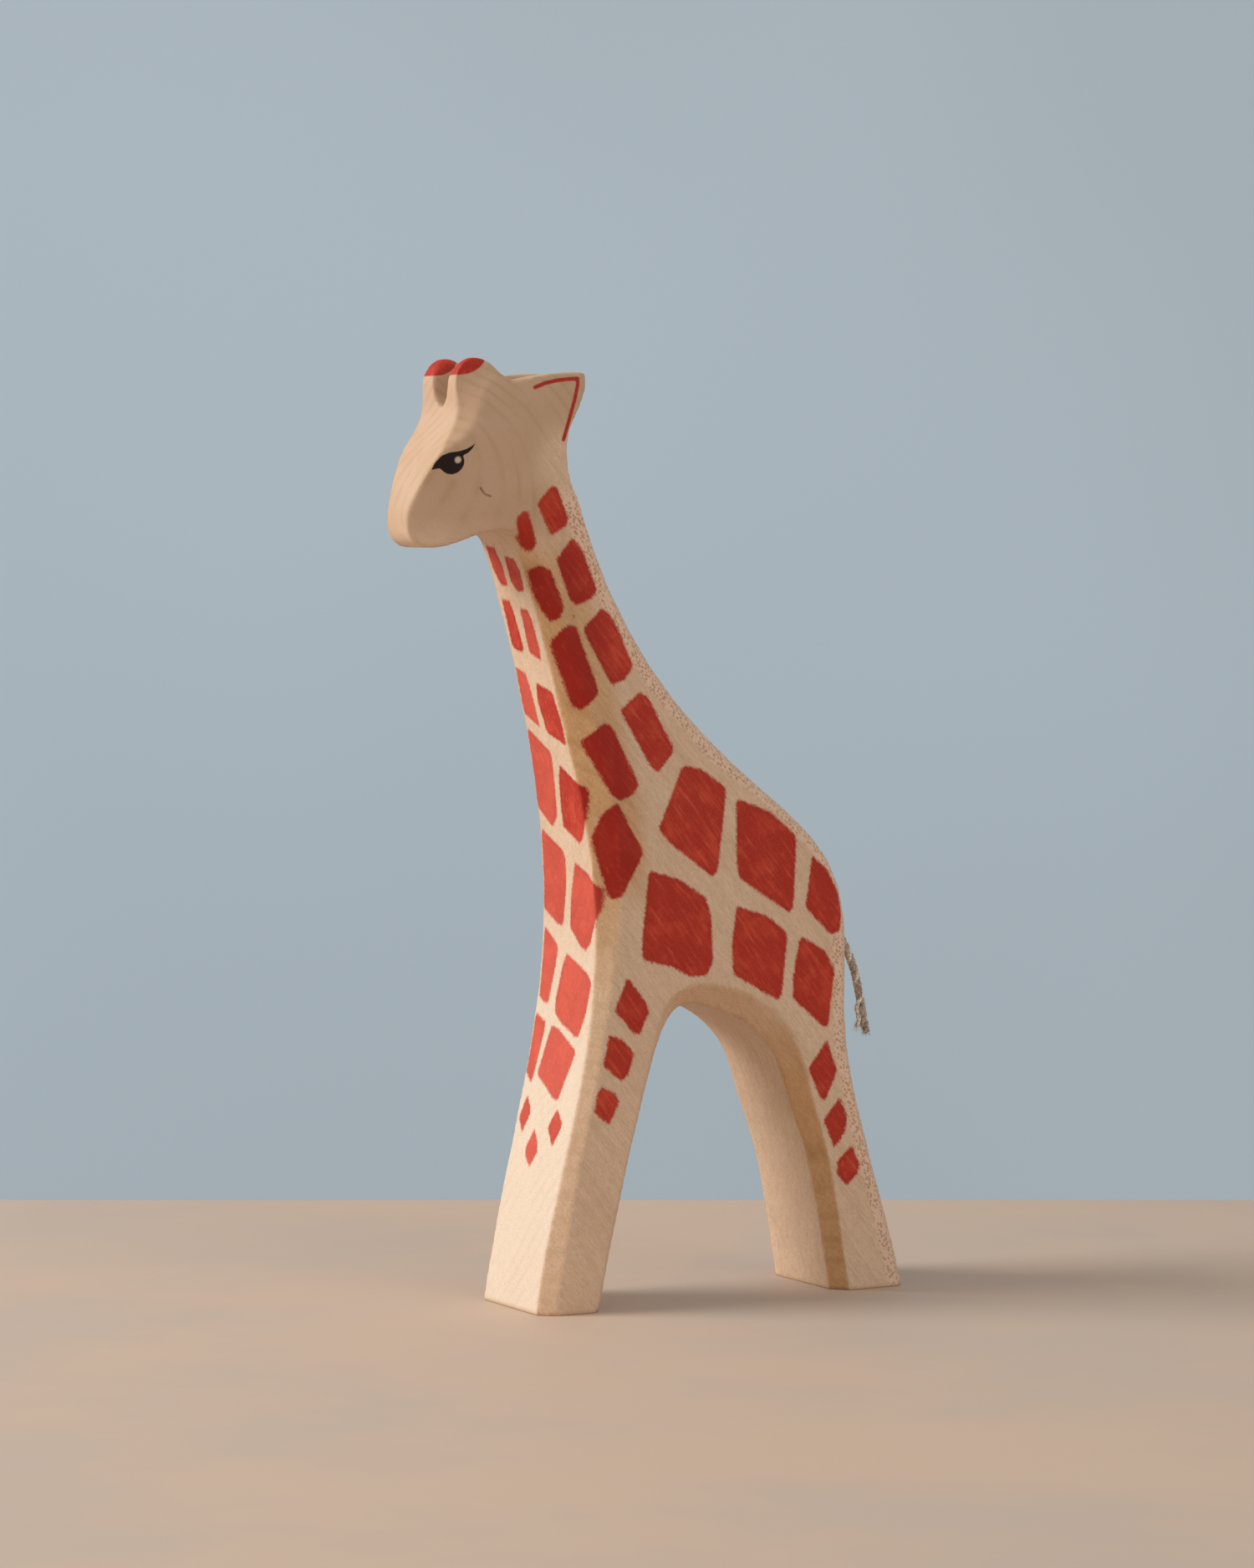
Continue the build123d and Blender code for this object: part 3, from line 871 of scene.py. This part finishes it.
class GIRAFFE_OT_carving(bpy.types.Operator):
    """Carve, sand and paint the giraffe's body"""
    bl_idname = "giraffe.carving"
    bl_label = "Carving"

    def execute(self, context):
        wood = context.scene.giraffe_wood
        mesh = dense_copy(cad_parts["carving"], wood.voxel)
        sand(mesh, wood)
        refine(mesh, [EYE_BOX], 2)
        refine(mesh, EAR_AND_CHEEK_BOXES, 1)
        paint_maps(mesh, wood)
        mesh.polygons.foreach_set("use_smooth", [True] * len(mesh.polygons))
        mesh.materials.clear()
        giraffe = new_object("giraffe_carving", mesh, painted_wood(wood, context.scene.giraffe_paint))
        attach(giraffe, "figure")
        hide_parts("carving")
        return {"FINISHED"}


# ---- the tail

def spline_points(route, name, steps=24):
    """Points along one smooth curve through a given route."""
    curve = bpy.data.curves.new(name, "CURVE")
    curve.dimensions = "3D"
    curve.resolution_u = steps
    line = curve.splines.new("NURBS")
    line.points.add(len(route) - 1)
    for point, place in zip(line.points, route):
        point.co = (*place, 1.0)
    line.order_u = 3
    line.use_endpoint_u = True
    carrier = bpy.data.objects.new(name, curve)
    mesh = bpy.data.meshes.new_from_object(carrier)
    points = read_points(mesh)
    bpy.data.objects.remove(carrier)
    bpy.data.meshes.remove(mesh)
    return points


def even_points(points, gap):
    """The same line with its points a fixed gap apart, and the place of each along it."""
    steps = np.linalg.norm(np.diff(points, axis=0), axis=1)
    along = np.concatenate([[0.0], np.cumsum(steps)])
    places = np.linspace(0.0, along[-1], max(2, int(along[-1] / gap)))
    return np.stack([np.interp(places, along, points[:, axis]) for axis in range(3)], 1), places


def side_frames(points):
    """Two directions square to the line at each point, which don't spin about it."""
    runs = np.gradient(points, axis=0)
    runs /= np.linalg.norm(runs, axis=1)[:, None]
    first = np.cross(runs[0], (1.0, 0.0, 0.0))
    firsts = []
    for run in runs:
        first = first - run * (first @ run)
        first = first / np.linalg.norm(first)
        firsts.append(first)
    firsts = np.array(firsts)
    return runs, firsts, np.cross(runs, firsts)


def add_tube(build, points, radii, sides, flutes=0, slot=0):
    """Adds a closed tube along points to a bmesh."""
    _, firsts, seconds = side_frames(points)
    rings = []
    for index, (centre, radius) in enumerate(zip(points, radii)):
        ring = []
        for corner in range(sides):
            angle = math.tau * corner / sides
            swell = 1.0 + (0.13 * math.cos(flutes * angle + index * 0.55) if flutes else 0.0)
            offset = firsts[index] * math.cos(angle) + seconds[index] * math.sin(angle)
            ring.append(build.verts.new(centre + offset * radius * swell))
        rings.append(ring)
    for ring, after in zip(rings, rings[1:]):
        for corner in range(sides):
            nearby = (corner + 1) % sides
            face = build.faces.new((ring[corner], ring[nearby], after[nearby], after[corner]))
            face.material_index = slot
            face.smooth = True
    for ring in (rings[0][::-1], rings[-1]):
        face = build.faces.new(ring)
        face.material_index = slot


def add_hair(build, draw, root, heading, size, radius, slot=0):
    """Adds one loose fibre that starts at root, sets off along heading and droops."""
    heading = heading / np.linalg.norm(heading)
    steps = 5
    points = [root]
    for _ in range(steps):
        heading = heading + np.array([draw.gauss(0, 0.22), draw.gauss(0, 0.22), draw.gauss(-0.16, 0.2)])
        heading /= np.linalg.norm(heading)
        points.append(points[-1] + heading * size / steps)
    add_tube(build, np.array(points), np.linspace(radius, radius * 0.5, steps + 1), 3, slot=slot)


class GIRAFFE_OT_tail(bpy.types.Operator):
    """Twist the cord tail from its plies, and fray its cut end"""
    bl_idname = "giraffe.tail"
    bl_label = "Tail"

    def execute(self, context):
        tail = context.scene.giraffe_tail
        draw = random.Random(SEED)
        path, places = even_points(spline_points(TAIL_ROUTE, "tail_route"), TAIL_POINT_GAP)
        inside = np.array([[0.0, back * TAIL_POINT_GAP, 0.0] for back in (4, 3, 2, 1)])
        line = np.concatenate([path[0] - inside, path])
        along = np.concatenate([-inside[:, 1], places])
        runs, firsts, seconds = side_frames(line)
        total = places[-1]
        plies = tail.plies + 1
        ply_radius = tail.diameter * 0.25
        ring_radius = tail.diameter / 2 - ply_radius
        build = bmesh.new()
        for ply in range(plies):
            pale = ply == plies - 1
            angles = math.tau * (ply / plies + along / tail.lay)
            swing = firsts * np.cos(angles)[:, None] + seconds * np.sin(angles)[:, None]
            apart = ease(along, total * PLY_PARTS[0], total * PLY_PARTS[1])[:, None]
            keep = np.ones(len(along), bool)
            strand = line + swing * ring_radius
            if pale:
                strand = line + swing * ring_radius * (1.0 - apart * 0.8) + np.array(PLY_ASIDE) * apart
                keep = along < total * PALE_PLY_SHARE
            thickness = ply_radius * np.array([1.0 + draw.uniform(-0.06, 0.06) for _ in along])
            add_tube(build, strand[keep], thickness[keep], 12, flutes=5, slot=int(pale))
            ends = strand[keep]
            heading = ends[-1] - ends[-4]
            for _ in range(34 if pale else 16):
                start = ends[-1] + np.array([draw.uniform(-1, 1) for _ in range(3)]) * ply_radius * 0.7
                spread = np.array([draw.gauss(0, 1) for _ in range(3)]) * 0.35 * np.linalg.norm(heading)
                size = tail.fray * draw.uniform(0.35, 0.9)
                add_hair(build, draw, start - heading, heading + spread, size, FRAY_RADIUS, slot=int(pale))
        for _ in range(tail.hairs):
            index = draw.randrange(int(len(line) * 0.25), len(line) - 2)
            angle = draw.uniform(0, math.tau)
            outward = firsts[index] * math.cos(angle) + seconds[index] * math.sin(angle)
            add_hair(build, draw, line[index] + outward * tail.diameter * 0.4, outward * 0.6 + runs[index],
                     draw.uniform(0.0006, 0.0016), HAIR_RADIUS, slot=int(draw.random() < 0.3))
        mesh = bpy.data.meshes.new("giraffe_tail")
        build.to_mesh(mesh)
        build.free()
        yarns = cord_yarn("grey_yarn", tail.grey), cord_yarn("pale_yarn", tail.cream)
        cord = new_object("giraffe_tail", mesh, *yarns)
        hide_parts("tail_cord")
        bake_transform(cord)
        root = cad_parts["tail_root"]
        root.data.materials.clear()
        root.data.materials.append(cord_yarn("root_yarn", tail.grey))
        return {"FINISHED"}


class GIRAFFE_OT_socket(bpy.types.Operator):
    """Finish the glue in the tail's socket"""
    bl_idname = "giraffe.socket"
    bl_label = "Socket glue"

    def execute(self, context):
        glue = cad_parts["socket_glue"]
        glue.data.materials.clear()
        glue.data.materials.append(dried_glue())
        return {"FINISHED"}


# ---- the stage

def soft_light(name, place, size, power, tint):
    """A round lamp that faces the figure."""
    lamp = bpy.data.lights.new(name, "AREA")
    lamp.shape = "DISK"
    lamp.size = size
    lamp.energy = power
    lamp.color = tint
    made = bpy.data.objects.new(name, lamp)
    bpy.context.scene.collection.objects.link(made)
    made.location = place
    made.rotation_euler = (Vector(LIT_POINT) - Vector(place)).to_track_quat("-Z", "Y").to_euler()


class GIRAFFE_OT_stage(bpy.types.Operator):
    """Set up the camera, the table top and soft studio light"""
    bl_idname = "giraffe.stage"
    bl_label = "Stage"

    def execute(self, context):
        scene = context.scene
        stage = scene.giraffe_stage
        scene.view_settings.view_transform = "Standard"
        azimuth = math.radians(AZIMUTH)
        towards_camera = Vector((math.sin(azimuth), -math.cos(azimuth), 0.0))
        lens = bpy.data.cameras.new("camera")
        lens.lens = LENS
        lens.sensor_width = SENSOR
        lens.clip_start = 0.01
        camera = bpy.data.objects.new("camera", lens)
        scene.collection.objects.link(camera)
        offset = Vector((*CAMERA_ASIDE, stage.camera_height))
        camera.location = towards_camera * stage.camera_distance + offset
        camera.rotation_euler = (math.radians(90.0 - LOOKING_DOWN), 0.0, azimuth)
        scene.camera = camera

        aside = Vector((-towards_camera.y, towards_camera.x, 0.0))

        def sheet(name, corners, material):
            """A flat sheet of even faces between four corners."""
            build = bmesh.new()
            a, b, c, d = (Vector(corner) for corner in corners)
            shares = [step / STAGE_STEPS for step in range(STAGE_STEPS + 1)]
            rows = [[build.verts.new(a.lerp(b, i).lerp(d.lerp(c, i), j)) for i in shares] for j in shares]
            for row, above in zip(rows, rows[1:]):
                for i in range(STAGE_STEPS):
                    build.faces.new((row[i], row[i + 1], above[i + 1], above[i]))
            mesh = bpy.data.meshes.new(name)
            build.to_mesh(mesh)
            build.free()
            new_object(name, mesh, material)

        edge = towards_camera * -stage.table_behind
        near = towards_camera * TABLE_TOWARDS
        half = aside * TABLE_HALF
        sheet("table_top", (edge - half, near - half, near + half, edge + half), table_top(stage.table))
        far = towards_camera * -WALL_BEHIND
        rise = Vector((0, 0, WALL_HALF_HEIGHT))
        sheet("wall", (far - half - rise, far + half - rise, far + half + rise, far - half + rise),
              wall_paint(stage.wall))

        soft_light("key_light", (-0.42, -1.05, 0.80), 0.8, stage.key_power, (1.0, 0.965, 0.92))
        soft_light("side_light", (1.3, 0.3, 0.7), 1.2, stage.fill_power, (1.0, 0.95, 0.90))
        room = bpy.data.worlds.new("room")
        room.use_nodes = True
        backdrop = room.node_tree.nodes["Background"]
        backdrop.inputs["Color"].default_value = solid(stage.room)
        backdrop.inputs["Strength"].default_value = stage.sky
        scene.world = room
        return {"FINISHED"}


class GIRAFFE_PT_panel(bpy.types.Panel):
    """Lists the giraffe's operators and settings"""
    bl_idname = "GIRAFFE_PT_panel"
    bl_label = "Carved giraffe"
    bl_space_type = "VIEW_3D"
    bl_region_type = "UI"
    bl_category = "Giraffe"

    def draw(self, context):
        for operator in OPERATORS:
            self.layout.operator(operator.bl_idname)
        for group in SETTINGS:
            settings = getattr(context.scene, group)
            box = self.layout.box()
            box.label(text=group.replace("_", " "))
            for name in settings.bl_rna.properties.keys():
                if name not in ("rna_type", "name"):
                    box.prop(settings, name)


SETTINGS = {"giraffe_wood": GiraffeWood, "giraffe_paint": GiraffePaint, "giraffe_tail": GiraffeTail,
            "giraffe_stage": GiraffeStage}
OPERATORS = (GIRAFFE_OT_stage, GIRAFFE_OT_tail, GIRAFFE_OT_carving, GIRAFFE_OT_socket)


def register():
    for cls in (*SETTINGS.values(), *OPERATORS, GIRAFFE_PT_panel):
        bpy.utils.register_class(cls)
    for name, cls in SETTINGS.items():
        setattr(bpy.types.Scene, name, bpy.props.PointerProperty(type=cls))


def unregister():
    for name in SETTINGS:
        delattr(bpy.types.Scene, name)
    for cls in reversed((*SETTINGS.values(), *OPERATORS, GIRAFFE_PT_panel)):
        bpy.utils.unregister_class(cls)


def main():
    register()
    bpy.ops.giraffe.stage()
    bpy.ops.giraffe.tail()
    bpy.ops.giraffe.carving()
    bpy.ops.giraffe.socket()


if __name__ == "__main__":
    main()
